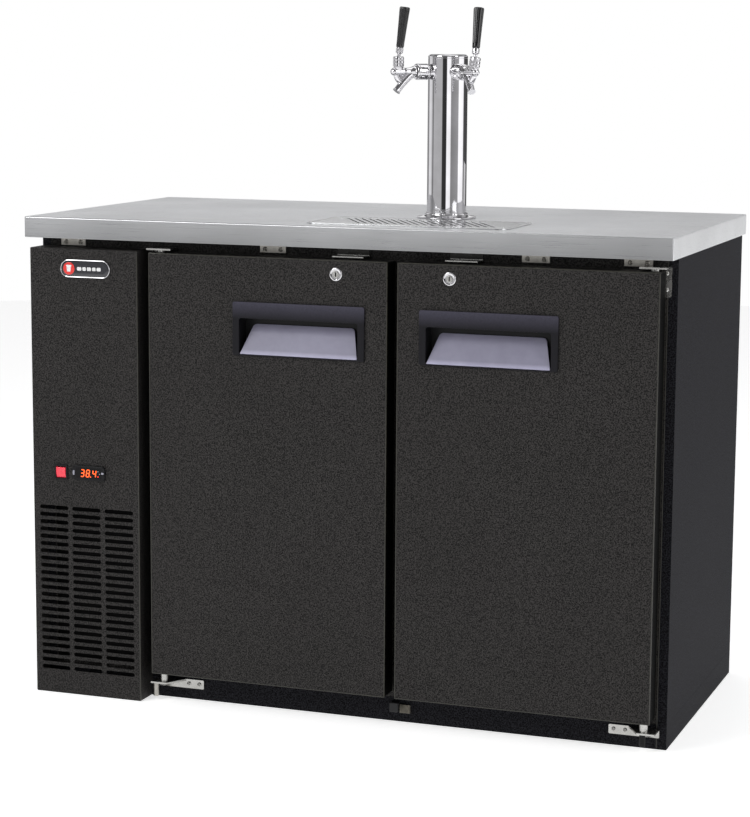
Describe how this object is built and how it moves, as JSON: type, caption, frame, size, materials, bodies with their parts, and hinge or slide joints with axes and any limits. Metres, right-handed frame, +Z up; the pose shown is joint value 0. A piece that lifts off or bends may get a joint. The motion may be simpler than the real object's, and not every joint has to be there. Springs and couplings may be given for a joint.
{
  "type": "kegerator",
  "caption": "Back-bar kegerator: black insulated cabinet with two swing doors, stainless worktop, drip tray and a draft tower with twin faucets.",
  "frame": {"origin": "on the floor, under the middle of the worktop", "axes": "+Z up, -Y out of the doors, +X to the right seen from the front"},
  "size_m": [1.219, 0.63, 1.2884],
  "materials": {
    "cabinet_black": "fine-textured black powder coat",
    "worktop_stainless": "brushed stainless sheet",
    "polished_steel": "mirror-polished stainless and chrome plate",
    "bright_zinc": "bright zinc-plated steel",
    "black_plastic": "black moulded plastic",
    "handle_plastic": "dark grey moulded plastic",
    "gasket_rubber": "soft black magnetic seal",
    "liner_steel": "satin stainless liner",
    "insulating_foam": "foamed polyurethane",
    "lamp_red": "lit translucent red",
    "copper_tube": "drawn copper tube",
    "coil_fins": "rolled aluminium fin",
    "machine_enamel": "semi-gloss black enamel",
    "tap_grip": "glossy black moulded grip"
  },
  "bodies": {
    "cabinet": {"back_panel": "cabinet_black", "base_pan": "cabinet_black", "compressor": "machine_enamel", "condenser_coil": "coil_fins", "controller_case": "black_plastic", "countertop": "worktop_stainless", "drip_pan": "polished_steel", "evaporator_coil": "coil_fins", "evaporator_cover": "liner_steel", "fan_motor": "machine_enamel", "fan_shroud": "cabinet_black", "front_frame": "cabinet_black", "grille_panel": "cabinet_black", "inner_liner": "liner_steel", "insulation_body": "insulating_foam", "left_coupling_nut": "polished_steel", "left_faucet_body": "polished_steel", "left_faucet_shank": "polished_steel", "left_lower_hinge": "worktop_stainless", "left_side_panel": "cabinet_black", "left_strike_plate": "worktop_stainless", "left_upper_hinge": "worktop_stainless", "refrigerant_line": "copper_tube", "right_coupling_nut": "polished_steel", "right_faucet_body": "polished_steel", "right_faucet_shank": "polished_steel", "right_lower_hinge": "worktop_stainless", "right_side_panel": "cabinet_black", "right_strike_plate": "worktop_stainless", "right_upper_hinge": "worktop_stainless", "switch_frame": "black_plastic", "top_clip_1": "bright_zinc", "top_clip_2": "bright_zinc", "top_clip_3": "bright_zinc", "top_clip_4": "bright_zinc", "tower_cap": "polished_steel", "tower_column": "polished_steel", "tower_flange": "polished_steel"},
    "left_door": {"left_door": "cabinet_black", "left_door_gasket": "gasket_rubber", "left_door_handle": "handle_plastic", "left_lock_barrel": "polished_steel"},
    "right_door": {"right_door": "cabinet_black", "right_door_gasket": "gasket_rubber", "right_door_handle": "handle_plastic", "right_lock_barrel": "polished_steel"},
    "left_lock_plug": {"left_lock_plug": "polished_steel"},
    "right_lock_plug": {"right_lock_plug": "polished_steel"},
    "left_lock_bolt": {"left_lock_bolt": "bright_zinc"},
    "right_lock_bolt": {"right_lock_bolt": "bright_zinc"},
    "left_lever": {"left_faucet_lever": "polished_steel", "left_tap_handle": "tap_grip"},
    "right_lever": {"right_faucet_lever": "polished_steel", "right_tap_handle": "tap_grip"},
    "power_rocker": {"power_rocker": "lamp_red"},
    "controller_key_1": {"controller_key_1": "bright_zinc"},
    "controller_key_2": {"controller_key_2": "bright_zinc"},
    "condenser_fan": {"condenser_fan": "black_plastic"},
    "evaporator_fan": {"evaporator_fan": "black_plastic"},
    "drip_grate": {"drip_grate": "polished_steel"}
  },
  "joints": [
    {"name": "left_door_hinge", "type": "hinge", "parent": "cabinet", "child": "left_door", "pos_m": [-0.348, -0.28, 0.45], "axis": [0, 0, -1], "range_deg": [0, 105]},
    {"name": "left_lock_turn", "type": "hinge", "parent": "left_door", "child": "left_lock_plug", "pos_m": [0.002, -0.3032, 0.818], "axis": [0, -1, 0], "range_deg": [0, 90]},
    {"name": "left_bolt_slide", "type": "slide", "parent": "left_door", "child": "left_lock_bolt", "axis": [0, 0, 1], "range_m": [0, 0.008]},
    {"name": "right_door_hinge", "type": "hinge", "parent": "cabinet", "child": "right_door", "pos_m": [0.57, -0.28, 0.45], "axis": [0, 0, 1], "range_deg": [0, 105]},
    {"name": "right_lock_turn", "type": "hinge", "parent": "right_door", "child": "right_lock_plug", "pos_m": [0.213, -0.3032, 0.818], "axis": [0, -1, 0], "range_deg": [0, 90]},
    {"name": "right_bolt_slide", "type": "slide", "parent": "right_door", "child": "right_lock_bolt", "axis": [0, 0, 1], "range_m": [0, 0.008]},
    {"name": "left_tap_pull", "type": "hinge", "parent": "cabinet", "child": "left_lever", "pos_m": [0.04258, -0.09442, 1.195], "axis": [0.7071, -0.7071, 0], "range_deg": [0, 35]},
    {"name": "right_tap_pull", "type": "hinge", "parent": "cabinet", "child": "right_lever", "pos_m": [0.18778, -0.09206, 1.19477], "axis": [0.7002, 0.7002, -0.1392], "range_deg": [0, 35]},
    {"name": "power_rock", "type": "hinge", "parent": "cabinet", "child": "power_rocker", "pos_m": [-0.54575, -0.2992, 0.4265], "axis": [-1, 0, 0], "range_deg": [0, 16]},
    {"name": "key_1_press", "type": "slide", "parent": "cabinet", "child": "controller_key_1", "axis": [0, 1, 0], "range_m": [0, 0.0008], "stiffness_N_per_m": 400},
    {"name": "key_2_press", "type": "slide", "parent": "cabinet", "child": "controller_key_2", "axis": [0, 1, 0], "range_m": [0, 0.0008], "stiffness_N_per_m": 400},
    {"name": "condenser_fan_spin", "type": "hinge", "parent": "cabinet", "child": "condenser_fan", "pos_m": [-0.495, -0.1863, 0.195], "axis": [0, 1, 0], "continuous": true},
    {"name": "evaporator_fan_spin", "type": "hinge", "parent": "cabinet", "child": "evaporator_fan", "pos_m": [-0.2806, 0.1225, 0.58], "axis": [1, 0, 0], "continuous": true},
    {"name": "grate_lift", "type": "slide", "parent": "cabinet", "child": "drip_grate", "axis": [0, 0, 1], "range_m": [0, 0.1]}
  ],
  "couplings": [
    {"joint": "left_lock_turn", "follows": "left_bolt_slide", "rad_per_m": 196.35},
    {"joint": "right_lock_turn", "follows": "right_bolt_slide", "rad_per_m": 196.35}
  ]
}
